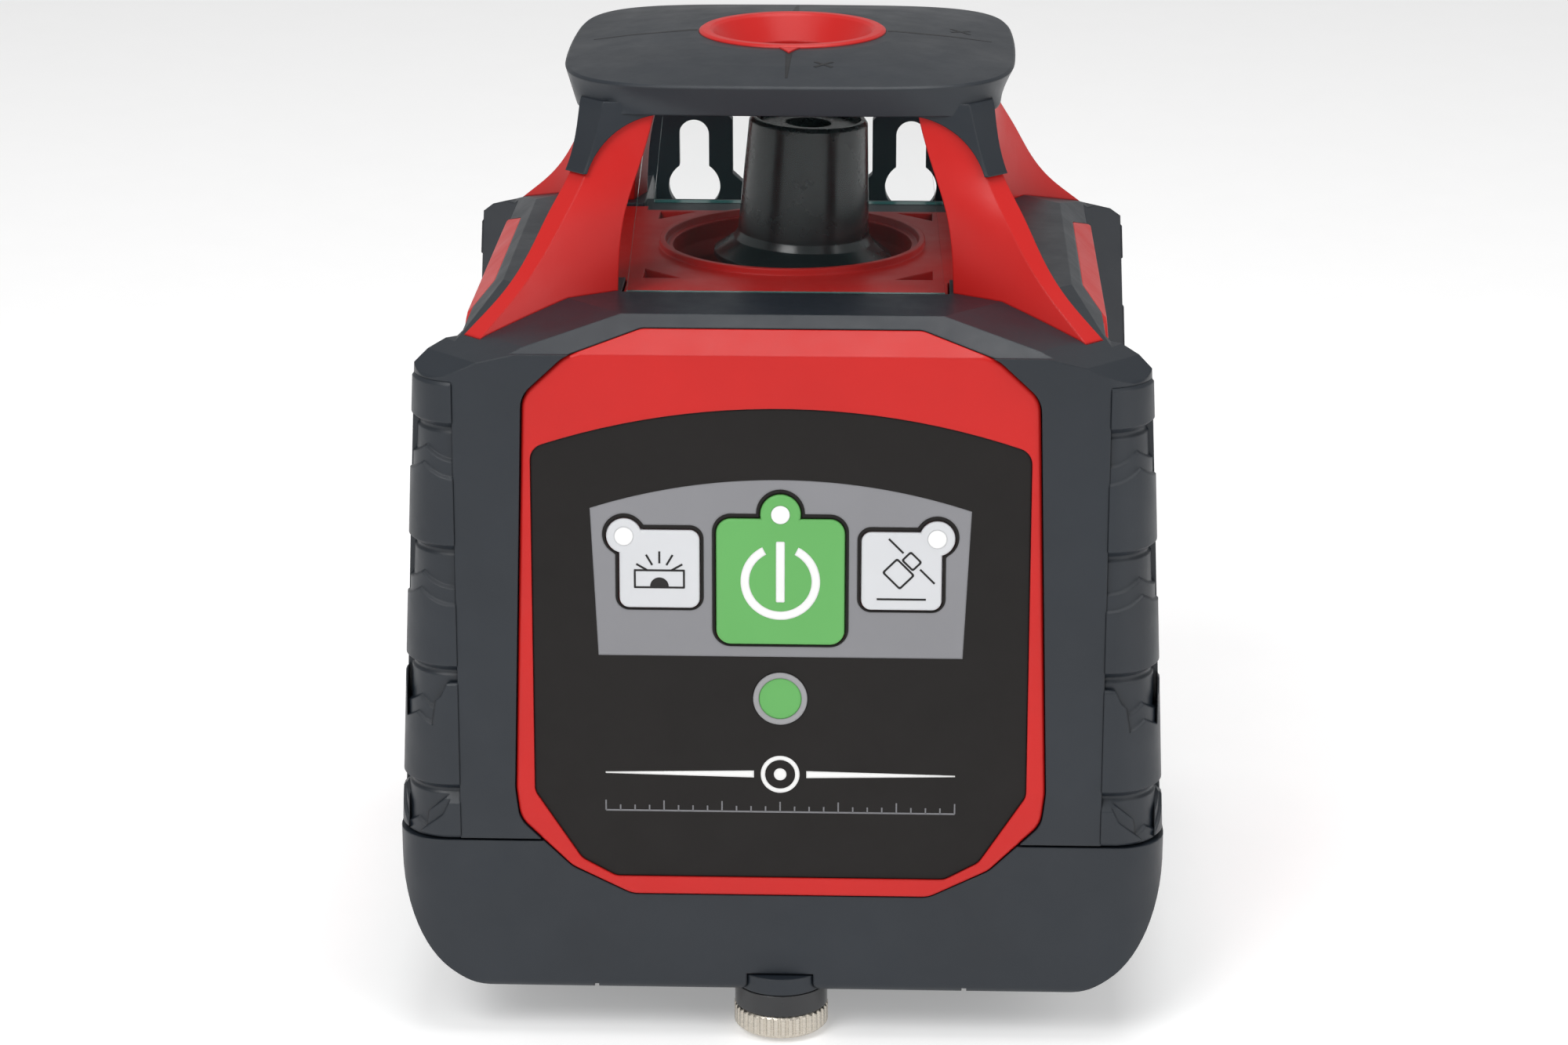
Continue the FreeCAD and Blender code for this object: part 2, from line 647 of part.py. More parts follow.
PILLAR_SECTIONS = [
    # height, then the half sizes: inner edge across and along, ridge, outer face, inner corner
    (CAP_BOTTOM_Z + 4, 26.0, 40.2, 36.2, 40.4, 33.0),
    (CAP_BOTTOM_Z, 27.0, 41.2, 37.6, 41.7, 33.5),
    (178.0, 30.5, 43.0, 41.0, 44.4, 34.5),
    (170.0, 33.0, 44.2, 45.0, 48.7, 35.5),
    (161.0, 34.3, 44.8, 50.2, 53.4, 36.5),
    (155.0, 34.6, 45.0, 54.8, 57.8, 37.0),
    (149.0, 34.8, 45.2, 60.5, 64.0, 37.5),
    (145.0, 35.0, 45.3, 64.0, 68.0, 37.5),
]


def pillar_loft(grow=0.0):
    """The front right pillar: two faces with a chamfer between them, flaring towards its foot."""
    wires = []
    for z, inner_x, inner_y, ridge, outer, corner in PILLAR_SECTIONS:
        edge = inner_y + grow
        face = outer + grow
        fold = ridge + grow * 0.4
        points = [(inner_x, -edge), (fold, -face), (face, -fold), (edge, -inner_x), (corner, -corner)]
        wires.append(polygon(points, z))
    return loft(wires, ruled=False)


def pillars():
    pillar = pillar_loft().cut(upper_block()).common(box(-99, 99, -99, 99, 140, CAP_BOTTOM_Z))
    return [turned(pillar, turn) for turn in (0, 90, 180, 270)]


def glass_panes():
    """Four leaning panes, each between two pillars; the rear one reaches down to the step."""
    thick = 3.0
    foot_y = -45.3
    head_y = -38.5
    high = CAP_BOTTOM_Z - 0.2
    panes = []
    for turn in (0, 90, 180, 270):
        low = (REAR_STEP_Z if turn == 180 else TRAY_Z) + 0.1
        side = [(foot_y, low), (foot_y + thick, low), (head_y + thick, high), (head_y, high)]
        slab = [V(-40, y, z) for y, z in side]
        pane = Part.Face(Part.makePolygon(slab + slab[:1])).extrude(V(80, 0, 0))
        pane = pane.common(extrude_y([(-33, low), (33, low), (28.6, high), (-28.6, high)], -60, -30))
        panes.append(turned(pane, turn))
    return panes


def head_tray():
    """The coloured tray round the rotor, with a raised ring and a funnel down to the well."""
    tray = tray_shape(0.0, CAVITY_TOP_Z + 5, TRAY_Z)
    ring = revolve([(WELL_R, CAVITY_TOP_Z), (WELL_R + 2.5, CAVITY_TOP_Z), (WELL_R + 2.5, TRAY_Z - 1),
                    (RING_R, TRAY_Z - 0.5), (RING_R, TRAY_Z + 1.4), (RING_R - 1.2, TRAY_Z + 1.4),
                    (WELL_R, CAVITY_TOP_Z + 3)])
    tray = tray.cut(cyl(WELL_R + 1, CAVITY_TOP_Z, TRAY_Z + 2))
    tray = fuse([tray, ring])
    for sx in (-1, 1):
        for y in (-31.5, 28.5):
            corner = [(sx * 30.5, y * 0.75), (sx * 30.5, y), (sx * 22.5, y)]
            tray = tray.cut(plate(corner, TRAY_Z - 2.5, TRAY_Z + 0.5))
    return tray


def squircle(a, b, exponent, z):
    """A closed outline between an ellipse and a rectangle."""
    power = 2 / exponent
    points = []
    count = 32
    for i in range(count):
        angle = 2 * math.pi * (i + 0.5) / count
        c, s = math.cos(angle), math.sin(angle)
        x = a * math.copysign(abs(c) ** power, c)
        y = b * math.copysign(abs(s) ** power, s)
        points.append(V(x, y, z))
    curve = Part.BSplineCurve()
    curve.interpolate(points, PeriodicFlag=True)
    return Part.Wire([curve.toShape()])


CAP_RING_R = 20.0
LEG_T = 1.1


def cap_plate():
    levels = [(44.4, 43.6, 7.0, CAP_BOTTOM_Z), (47.4, 46.2, 4.2, CAP_EDGE_Z - 0.5)]
    levels += [(46.9, 45.7, 4.2, CAP_EDGE_Z), (34.0, 33.0, 3.2, CAP_EDGE_Z + 1.7), (22.0, 22.0, 2.5, CAP_TOP_Z)]
    return loft([squircle(*level) for level in levels])


def cap():
    top = cap_plate()
    sleeve = pillar_loft(LEG_T).cut(pillar_loft())
    sleeve = sleeve.common(box(-60, 60, -60, 60, LEG_TIP_Z, CAP_BOTTOM_Z + 2.5))
    arch = arch_cutter()
    sleeve = sleeve.cut(arch).cut(turned(arch, 90))
    legs = [turned(sleeve, turn) for turn in (0, 90, 180, 270)]
    whole = fuse([top] + legs)
    whole = whole.cut(cyl(CAP_RING_R, CAP_BOTTOM_Z + 2, CAP_TOP_Z + 2))
    return whole.cut(cyl(13.0, CAP_BOTTOM_Z - 1, CAP_TOP_Z))


def arch_cutter():
    """The opening between two cap legs, seen from the front."""
    left_tip = V(-41.0, -80, LEG_TIP_Z - 1)
    right_tip = V(41.0, -80, LEG_TIP_Z - 1)
    left_top = V(-24.0, -80, CAP_BOTTOM_Z)
    right_top = V(24.0, -80, CAP_BOTTOM_Z)
    edges = [
        Part.LineSegment(left_tip, right_tip),
        Part.Arc(right_tip, V(35.0, -80, CAP_BOTTOM_Z - 3.8), right_top),
        Part.LineSegment(right_top, left_top),
        Part.Arc(left_top, V(-35.0, -80, CAP_BOTTOM_Z - 3.8), left_tip),
    ]
    return Part.Face(Part.Wire([e.toShape() for e in edges])).extrude(V(0, 160, 0))


def cap_ring():
    """The coloured funnel in the cap."""
    z = CAP_TOP_Z
    low = CAP_BOTTOM_Z + 2
    return revolve([(13.0, low), (CAP_RING_R, low), (CAP_RING_R, z + 0.2), (CAP_RING_R - 0.6, z + 0.6),
                    (CAP_RING_R - 2.2, z + 0.6), (CAP_RING_R - 3.0, z + 0.1), (13.0, low + 2.6)])


def cap_pieces():
    save("cap", cap())
    save("cap_ring", cap_ring())
    save("cap_window", cyl(12.9, CAP_BOTTOM_Z + 0.5, CAP_BOTTOM_Z + 3.0))


# ---------------------------------------------------------------- laser unit, inside and in the lantern

CHASSIS_Z = 56.0
CHASSIS_FEET = [(sx * 46.0, sy * 30.0) for sx in (-1, 1) for sy in (-1, 1)]
RING_OUT_R = 26.0
RING_IN_R = 21.0
PIN_R = 2.0
BARREL_R = 11.0
NECK_R = 9.0
BORE_R = 6.5
NECK_Z = 127.0
BEARING_OUT_R = 13.0
BEAM_Z = 167.0
PLUNGER_R = 2.0
PLUNGER_SPOTS = [(-16.0, 0.0), (0.0, -16.0)]
PLUNGER_TOP_Z = 71.0
BUSH_R = 3.5
ARM_Z = 72.0


def chassis():
    base = box(-50, 50, -36, 36, CHASSIS_Z, CHASSIS_Z + 4).cut(cyl(12, CHASSIS_Z - 1, CHASSIS_Z + 5))
    feet = [cyl(4.0, CHASSIS_Z - 8, CHASSIS_Z + 1, x, y) for x, y in CHASSIS_FEET]
    uprights = [box(-9, 9, y0, y1, CHASSIS_Z, PIVOT_Z + 5) for y0, y1 in ((-36, -31.5), (31.5, 36))]
    body = fuse([base] + feet + uprights)
    for x, y in PLUNGER_SPOTS:
        body = body.cut(cyl(BUSH_R, CHASSIS_Z - 1, CHASSIS_Z + 5, x, y))
    return body.cut(rod_y(PIN_R, -40, 40, 0, PIVOT_Z))


def gimbal_ring():
    ring = tube(RING_OUT_R, RING_IN_R, PIVOT_Z - 5, PIVOT_Z + 5)
    bosses = [rod_y(4.5, 25, 29, 0, PIVOT_Z), rod_y(4.5, -29, -25, 0, PIVOT_Z)]
    ring = fuse([ring] + bosses)
    ring = ring.cut(rod_y(PIN_R + RUN_FIT, -40, 40, 0, PIVOT_Z))
    return lean(ring.cut(rod_x(PIN_R, -40, 40, 0, PIVOT_Z)))


def laser_barrel():
    """The optical tube, with its pivot bosses, the levelling arms and the motor bracket."""
    body = fuse([cyl(BARREL_R, ARM_Z, NECK_Z), cyl(NECK_R, NECK_Z, 149.0)])
    bosses = [rod_x(4.5, -18, 18, 0, PIVOT_Z)]
    arms = [box(-19, 0, -4, 4, ARM_Z, ARM_Z + 3), box(-4, 4, -19, 0, ARM_Z, ARM_Z + 3)]
    bracket = plate([(-10, 0), (10, 0), (10, MOTOR_Y + 9), (-10, MOTOR_Y + 9)], NECK_Z - 2, NECK_Z)
    body = fuse([body, bracket] + bosses + arms)
    body = body.cut(cyl(BORE_R, ARM_Z - 1, 160)).cut(cyl(8.0, ARM_Z - 1, 88.0))
    body = body.cut(rod_x(PIN_R + RUN_FIT, -30, 30, 0, PIVOT_Z))
    return lean(body.cut(cyl(3.0, NECK_Z - 4, NECK_Z + 2, 0, MOTOR_Y)))


def pins():
    along_y = [rod_y(PIN_R, 21.5, 36, 0, PIVOT_Z), rod_y(PIN_R, -36, -21.5, 0, PIVOT_Z)]
    save_group("ring_pivot_pins", along_y)
    along_x = [rod_x(PIN_R, 11.5, RING_OUT_R, 0, PIVOT_Z), rod_x(PIN_R, -RING_OUT_R, -11.5, 0, PIVOT_Z)]
    save_group("barrel_pivot_pins", [lean(pin) for pin in along_x])


def rotor_head():
    """The spinning head: a pulley hub, a flared skirt and a tapered tower with a sunk top."""
    hub_low = BELT_Z - 1.5
    groove_r = BELT_R_ROTOR - 0.6
    flange_r = BELT_R_ROTOR + 1.2
    outline = [(BEARING_OUT_R + RUN_FIT, hub_low), (flange_r, hub_low), (flange_r, BELT_Z - 0.3),
               (groove_r, BELT_Z - 0.2), (groove_r, BELT_Z + BELT_H + 0.2),
               (flange_r, BELT_Z + BELT_H + 0.3), (17.0, 137.5), (17.0, SKIRT_Z - 2.5),
               (SKIRT_R, SKIRT_Z - 1.2), (SKIRT_R, SKIRT_Z), (SKIRT_R - 2.2, SKIRT_Z + 1.6),
               (ROTOR_FOOT_R + 0.9, SKIRT_Z + 3.0), (ROTOR_FOOT_R, SKIRT_Z + 4.6),
               (ROTOR_TOP_R + 0.1, ROTOR_TOP_Z - 0.8), (ROTOR_TOP_R - 0.5, ROTOR_TOP_Z),
               (ROTOR_TOP_R - 1.3, ROTOR_TOP_Z), (ROTOR_TOP_R - 1.6, ROTOR_TOP_Z - 1.2),
               (5.0, ROTOR_TOP_Z - 1.2), (5.0, ROTOR_TOP_Z - 3.0), (9.6, ROTOR_TOP_Z - 3.0),
               (9.6, 160.0), (5.0, 160.0), (5.0, 156.0), (9.8, 154.0), (9.8, 149.5),
               (BEARING_OUT_R + RUN_FIT, 149.5)]
    head = revolve(outline)
    return lean(head.cut(rod_y(4.0, 8.0, 20.0, 0, BEAM_Z)))


def pentaprism():
    """A five-sided prism that turns the beam through a right angle, out to the rear."""
    half = 4.9
    chamfer = 2.9
    side = [(-half, -half), (half, -half), (half, half - chamfer), (half - chamfer, half)]
    side.append((-half, half - 1.2))
    points = [V(-half, y, z + BEAM_Z) for y, z in side]
    prism = Part.Face(Part.makePolygon(points + points[:1])).extrude(V(2 * half, 0, 0))
    prism.translate(V(0, 0, 160.0 - (BEAM_Z - half)))
    return lean(prism)


def belt_hull(r_rotor, r_motor, z0, z1):
    """The outline round the two pulleys: two arcs and their tangents."""
    tilt = math.asin((r_rotor - r_motor) / MOTOR_Y)
    c, s = math.cos(tilt), math.sin(tilt)
    right_low = V(r_rotor * c, r_rotor * s, z0)
    left_low = V(-r_rotor * c, r_rotor * s, z0)
    right_high = V(r_motor * c, MOTOR_Y + r_motor * s, z0)
    left_high = V(-r_motor * c, MOTOR_Y + r_motor * s, z0)
    edges = [
        Part.Arc(left_low, V(0, -r_rotor, z0), right_low),
        Part.LineSegment(right_low, right_high),
        Part.Arc(right_high, V(0, MOTOR_Y + r_motor, z0), left_high),
        Part.LineSegment(left_high, left_low),
    ]
    return Part.Face(Part.Wire([e.toShape() for e in edges])).extrude(V(0, 0, z1 - z0))


def drive_parts():
    case = cyl(9.0, MOTOR_LOW_Z, NECK_Z - 2, 0, MOTOR_Y)
    motor = fuse([case, cyl(3.0, NECK_Z - 2, NECK_Z + 1, 0, MOTOR_Y)])
    save("drive_motor", lean(motor.cut(cyl(1.0 + RUN_FIT, MOTOR_LOW_Z + 2, NECK_Z + 2, 0, MOTOR_Y))))
    shaft = cyl(1.0, MOTOR_LOW_Z + 4, BELT_Z, 0, MOTOR_Y)
    rim = BELT_R_MOTOR + 1.2
    core = BELT_R_MOTOR - 0.6
    wheel = [cyl(rim, BELT_Z - 1.5, BELT_Z - 0.3, 0, MOTOR_Y)]
    wheel.append(cyl(core, BELT_Z - 1, BELT_Z + BELT_H + 0.5, 0, MOTOR_Y))
    wheel.append(cyl(rim, BELT_Z + BELT_H + 0.3, BELT_Z + BELT_H + 1.5, 0, MOTOR_Y))
    save("motor_pulley", lean(fuse([shaft] + wheel)))
    half = 0.5
    outside = belt_hull(BELT_R_ROTOR + half, BELT_R_MOTOR + half, BELT_Z, BELT_Z + BELT_H)
    inside = belt_hull(BELT_R_ROTOR - half, BELT_R_MOTOR - half, BELT_Z - 1, BELT_Z + BELT_H + 1)
    save("drive_belt", lean(outside.cut(inside)))


def laser_pieces():
    save("chassis", chassis())
    save("gimbal_ring", gimbal_ring())
    save("laser_barrel", laser_barrel())
    pins()
    save("diode_module", lean(fuse([cyl(8.0, 76.0, 88.0), cyl(5.0, 68.0, 76.0)])))
    save("collimator_lens", lean(cyl(BORE_R, 106.0, 108.5)))
    bearings = [tube(BEARING_OUT_R, NECK_R, z, z + 4.5) for z in (137.5, 144.0)]
    save_group("spindle_bearings", [lean(ring) for ring in bearings])
    save("rotor_head", rotor_head())
    save("pentaprism", pentaprism())
    window = rod_y(3.95, 10.2, 12.0, 0, BEAM_Z)
    save("beam_window", lean(window))
    drive_parts()
    motors = []
    for x, y in PLUNGER_SPOTS:
        case = cyl(7.0, CHASSIS_Z - 14, CHASSIS_Z, x, y)
        bush = cyl(BUSH_R, CHASSIS_Z - 1, CHASSIS_Z + 6, x, y)
        motors.append(fuse([case, bush]).cut(cyl(PLUNGER_R + RUN_FIT, CHASSIS_Z - 10, CHASSIS_Z + 8, x, y)))
    save_group("level_motors", motors)
    for name, (x, y) in zip(("x", "y"), PLUNGER_SPOTS):
        save("level_plunger_" + name, cyl(PLUNGER_R, CHASSIS_Z - 4, PLUNGER_TOP_Z, x, y))


# ---------------------------------------------------------------- base pieces and rear bracket

FEET = [(sx * 50.0, sy * 42.0) for sx in (-1, 1) for sy in (-1, 1)]
SOCKET_R = 6.8
CELL_R = 7.25
CELL_LEN = 50.5


def battery_door():
    top = FOOT_H + FLOOR_T
    panel = box(-DOOR_HALF_X, DOOR_HALF_X, DOOR_FRONT_Y, HINGE_Y, FOOT_H, top)
    knuckle = rod_x(KNUCKLE_R, -DOOR_HALF_X, DOOR_HALF_X, HINGE_Y, HINGE_Z)
    boss = cyl(KNOB_R, FOOT_H, top + 0.6, 0, SCREW_Y)
    door = fuse([panel, knuckle, boss]).cut(rod_x(0.8 + RUN_FIT, -45, 45, HINGE_Y, HINGE_Z))
    return door.cut(cyl(2.5 + RUN_FIT, 10, 20, 0, SCREW_Y))


def thumb_screw():
    """A black collar on a shank, over a knurled metal head."""
    collar = fuse([cyl(KNOB_R, 6.1, FOOT_H - 0.25, 0, SCREW_Y), cyl(2.5, 9.0, 18.5, 0, SCREW_Y)])
    save("thumb_screw_collar", collar)
    head = cyl(9.9, 1.0, 6.1, 0, SCREW_Y)
    edges = [e for e in head.Edges if e.BoundBox.ZLength < 0.01]
    head = head.makeChamfer(0.7, edges)
    notches = []
    count = 40
    for i in range(count):
        angle = 2 * math.pi * i / count
        notches.append(cyl(0.38, 0, 7, 9.95 * math.cos(angle), SCREW_Y + 9.95 * math.sin(angle)))
    save("thumb_screw_head", head.cut(Part.makeCompound(notches)))


def battery_pieces():
    low = FOOT_H + FLOOR_T + 0.7
    y0, y1 = -58.9, -27.3
    tray = box(-29, 29, y0, y1, low, low + 32).cut(box(-27, 27, y0 + 1, y1 - 1, low - 1, low + 30.4))
    save("battery_tray", tray)
    cells = []
    for row in (-1, 1):
        for layer in range(2):
            y = (y0 + y1) / 2 + row * (CELL_R + 0.1)
            z = low + CELL_R + 0.2 + layer * (2 * CELL_R + 0.3)
            body = rod_x(CELL_R, -CELL_LEN / 2, CELL_LEN / 2 - 1, y, z)
            cells.append(fuse([body, rod_x(2.7, CELL_LEN / 2 - 2, CELL_LEN / 2, y, z)]))
    save_group("battery_cells", cells)


def tripod_insert():
    body = fuse([cyl(20.0, 0.0, 3.0), cyl(12.0, 2.0, 26.0)])
    rim = [e for e in body.Edges if e.BoundBox.ZMax < 0.1]
    body = body.makeChamfer(0.5, rim)
    return body.cut(cyl(SOCKET_R, -1, 21.0))


def rubber_feet():
    feet = []
    for x, y in FEET:
        pad = Part.makeCone(7.2, 8.2, FOOT_H, V(x, y, 0))
        low = [e for e in pad.Edges if e.BoundBox.ZMax < 0.1]
        pad = pad.makeFillet(0.8, low)
        feet.append(fuse([pad, cyl(3.0, FOOT_H - 1, 12.5, x, y)]))
    return feet


def cross_slot(x, y, z0, z1):
    """The cross in a screw's head."""
    arm = 2.2
    half = 0.4
    across = box(x - arm, x + arm, y - half, y + half, z0, z1)
    return fuse([across, box(x - half, x + half, y - arm, y + arm, z0, z1)])


def base_screws():
    screws = []
    for x, y in SCREW_POSTS:
        head = cyl(3.4, 11.4, 13.5, x, y).cut(cross_slot(x, y, 11, 12.6))
        screws.append(fuse([head, cyl(1.7, 13, 62, x, y)]))
    return screws


KEYHOLE_X = 25.6
KEYHOLE_U = 102.8
KEYHOLE_R = 6.1
KEYHOLE_NECK_R = 3.5
KEYHOLE_TOP_U = 115.5
HANGER_W = (4.5, 7.5)
HANGER_SCREWS = [(-36.0, 62.0), (36.0, 62.0)]


def hanger_plate():
    """The wall bracket: two ears with keyholes above the deck, held off the rear by two ribs."""
    w0, w1 = HANGER_W
    outline = [(48.0, 50.0), (48.0, 108.0), (40.0, 123.0), (20.0, 123.0), (16.5, 119.0), (16.5, 106.0),
               (10.0, 100.0)]
    right = [(24.0, 48.0)] + outline
    body = plate(right + [(-x, u) for x, u in reversed(right)], w0, w1)
    ribs = [plate(square(sx * 36.0, 62.0, 7.0), PANEL_PROUD, w0 + 1) for sx in (-1, 1)]
    body = fuse([body] + ribs)
    for sx in (-1, 1):
        x = sx * KEYHOLE_X
        wide = Part.makeCylinder(KEYHOLE_R, 20, V(x, KEYHOLE_U, -5))
        narrow = box(x - KEYHOLE_NECK_R, x + KEYHOLE_NECK_R, KEYHOLE_U, KEYHOLE_TOP_U, -5, 15)
        end = Part.makeCylinder(KEYHOLE_NECK_R, 20, V(x, KEYHOLE_TOP_U, -5))
        body = body.cut(fuse([wide, narrow, end]))
    for x, u in HANGER_SCREWS:
        body = body.cut(Part.makeCylinder(2.1, 20, V(x, u, -5)))
        body = body.cut(Part.makeCylinder(3.6, 5, V(x, u, w1 - 2)))
    return on_face(body, SIDES["rear"])


def hanger_pieces():
    save("hanger_plate", hanger_plate())
    screws = []
    for x, u in HANGER_SCREWS:
        head = Part.makeCylinder(3.5, 1.9, V(x, u, HANGER_W[1] - 2))
        slot = cross_slot(x, u, HANGER_W[1] - 1.1, HANGER_W[1] + 1.5)
        shank = Part.makeCylinder(2.0, 4.0, V(x, u, PANEL_PROUD))
        screws.append(on_face(fuse([head.cut(slot), shank]), SIDES["rear"]))
    save_group("hanger_screws", screws)


def base_pieces():
    save("base_housing", base_housing())
    save("battery_door", battery_door())
    save("door_hinge_pin", rod_x(0.8, -DOOR_HALF_X - 3.4, DOOR_HALF_X + 3.4, HINGE_Y, HINGE_Z))
    thumb_screw()
    battery_pieces()
    save("tripod_insert", tripod_insert())
    save_group("rubber_feet", rubber_feet())
    save_group("base_screws", base_screws())
    board = box(-42, 42, 40, 66, 49.0, 50.6)
    save("main_board", board)


def main():
    os.makedirs("parts", exist_ok=True)
    save("main_housing", main_housing())
    base_pieces()
    for name, pad in zip(("front_right", "rear_right", "rear_left", "front_left"), bumpers()):
        save("bumper_" + name, pad)
    front_pieces()
    for side in ("left", "right", "rear"):
        save(side + "_panel", side_panel(side))
    save("head_tray", head_tray())
    for name, pillar in zip(("front_right", "rear_right", "rear_left", "front_left"), pillars()):
        save("pillar_" + name, pillar)
    save_group("glass_panes", glass_panes())
    cap_pieces()
    laser_pieces()
    hanger_pieces()


main()
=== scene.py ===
import math

import bmesh
import bpy
from mathutils import Matrix, Vector
from mathutils.bvhtree import BVHTree


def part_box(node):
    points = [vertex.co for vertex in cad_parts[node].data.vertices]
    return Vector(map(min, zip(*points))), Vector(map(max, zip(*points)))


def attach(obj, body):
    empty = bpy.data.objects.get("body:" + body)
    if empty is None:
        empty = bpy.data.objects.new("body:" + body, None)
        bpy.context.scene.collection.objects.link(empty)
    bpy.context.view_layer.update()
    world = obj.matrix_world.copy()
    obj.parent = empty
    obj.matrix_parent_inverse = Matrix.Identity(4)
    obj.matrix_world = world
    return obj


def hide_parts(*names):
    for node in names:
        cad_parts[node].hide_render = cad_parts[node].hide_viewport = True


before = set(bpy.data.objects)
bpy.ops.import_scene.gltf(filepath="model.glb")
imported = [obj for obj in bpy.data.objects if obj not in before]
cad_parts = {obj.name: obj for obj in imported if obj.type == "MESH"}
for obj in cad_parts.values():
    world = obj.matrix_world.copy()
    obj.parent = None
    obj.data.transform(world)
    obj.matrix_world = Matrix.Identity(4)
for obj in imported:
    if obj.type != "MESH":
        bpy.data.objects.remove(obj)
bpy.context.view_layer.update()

MM = 0.001
EDGE_RADIUS = 0.0005
CORNERS = ("front_right", "rear_right", "rear_left", "front_left")

# Linear colours
NAVY = (0.0105, 0.0155, 0.0225)
RED = (0.55, 0.0105, 0.0085)
TRAY_RED = (0.50, 0.009, 0.007)
OVERLAY_BLACK = (0.0075, 0.0058, 0.0052)
FIELD_GREY = (0.235, 0.235, 0.25)
KEY_GREEN = (0.115, 0.40, 0.10)
KEY_GREY = (0.62, 0.63, 0.65)
INK_WHITE = (0.86, 0.86, 0.85)
INK_BLACK = (0.008, 0.007, 0.007)
ROTOR_BLACK = (0.008, 0.009, 0.011)
PLASTIC_BLACK = (0.012, 0.012, 0.013)
FOOT_BLACK = (0.01, 0.01, 0.011)
LIGHT_WHITE = (0.9, 0.9, 0.9)
RING_GREY = (0.30, 0.30, 0.31)
BOARD_GREEN = (0.01, 0.1, 0.035)
CELL_BLUE = (0.05, 0.06, 0.08)
# Painted shade: darker than the navy cap, this stands in for the shade inside the cap's engraved grooves
GROOVE_SHADE_BLACK = (0.0045, 0.0055, 0.0075)
NICKEL = (0.66, 0.61, 0.53)
STEEL = (0.46, 0.46, 0.47)
ALUMINIUM = (0.6, 0.61, 0.63)
BRASS = (0.66, 0.47, 0.2)
PANE_TINT = (0.05, 0.10, 0.10)
PANE_EDGE_TINT = (0.045, 0.20, 0.19)
WINDOW_TINT = (0.03, 0.035, 0.05)
FLOOR_WHITE = (0.86, 0.86, 0.86)


# ---------------------------------------------------------------- materials


def node_tree(name):
    material = bpy.data.materials.new(name)
    material.use_nodes = True
    nodes = material.node_tree.nodes
    return material, nodes, material.node_tree.links, nodes["Principled BSDF"]


def noise(nodes, links, scale, detail=2.0, roughness=0.5):
    """A noise texture that follows the object's own coordinates, in metres."""
    place = nodes.new("ShaderNodeTexCoord")
    texture = nodes.new("ShaderNodeTexNoise")
    texture.inputs["Scale"].default_value = scale
    texture.inputs["Detail"].default_value = detail
    texture.inputs["Roughness"].default_value = roughness
    links.new(place.outputs["Object"], texture.inputs["Vector"])
    return texture.outputs["Fac"]


def spread(nodes, links, source, low, high):
    """Maps a texture's middle range onto low..high."""
    ramp = nodes.new("ShaderNodeMapRange")
    ramp.inputs["From Min"].default_value = 0.3
    ramp.inputs["From Max"].default_value = 0.7
    ramp.inputs["To Min"].default_value = low
    ramp.inputs["To Max"].default_value = high
    links.new(source, ramp.inputs["Value"])
    return ramp.outputs["Result"]


def two_tone(nodes, links, factor, first, second):
    mix = nodes.new("ShaderNodeMix")
    mix.data_type = "RGBA"
    mix.inputs["A"].default_value = (*first, 1)
    mix.inputs["B"].default_value = (*second, 1)
    links.new(factor, mix.inputs["Factor"])
    return mix.outputs["Result"]


def bump(nodes, links, shader, heights):
    """Stacks bumps of (height source, distance in metres, strength) under the shader's normal."""
    soften = nodes.new("ShaderNodeBevel")
    soften.samples = 4
    soften.inputs["Radius"].default_value = EDGE_RADIUS
    last = soften.outputs["Normal"]
    for source, distance, strength in heights:
        node = nodes.new("ShaderNodeBump")
        node.inputs["Distance"].default_value = distance
        node.inputs["Strength"].default_value = strength
        links.new(source, node.inputs["Height"])
        links.new(last, node.inputs["Normal"])
        last = node.outputs["Normal"]
    links.new(last, shader.inputs["Normal"])


def moulded(name, colour, rough, grain=2600.0, grain_depth=0.00003, shade=0.82, specular=0.5, coat=0.0,
            strength=0.35):
    """Moulded plastic or rubber: fine spark-eroded grain, faint blotches and uneven gloss.

    The noise scales are in turns per metre, and the bump distances in metres.
    """
    material, nodes, links, shader = node_tree(name)
    blotch = spread(nodes, links, noise(nodes, links, 38.0, 4.0), 0.0, 1.0)
    darker = tuple(c * shade for c in colour)
    links.new(two_tone(nodes, links, blotch, darker, colour), shader.inputs["Base Color"])
    uneven = noise(nodes, links, 120.0, 5.0, 0.6)
    links.new(spread(nodes, links, uneven, rough - 0.05, rough + 0.06), shader.inputs["Roughness"])
    shader.inputs["Specular IOR Level"].default_value = specular
    shader.inputs["Coat Weight"].default_value = coat
    shader.inputs["Coat Roughness"].default_value = 0.25
    fine = noise(nodes, links, grain, 2.0)
    soft = noise(nodes, links, 60.0, 2.0)
    bump(nodes, links, shader, [(soft, 0.0004, 0.05), (fine, grain_depth, strength)])
    return material


def printed_ink(name, colour, rough=0.4):
    return moulded(name, colour, rough, grain=4000.0, grain_depth=0.00001, shade=0.93, specular=0.4)


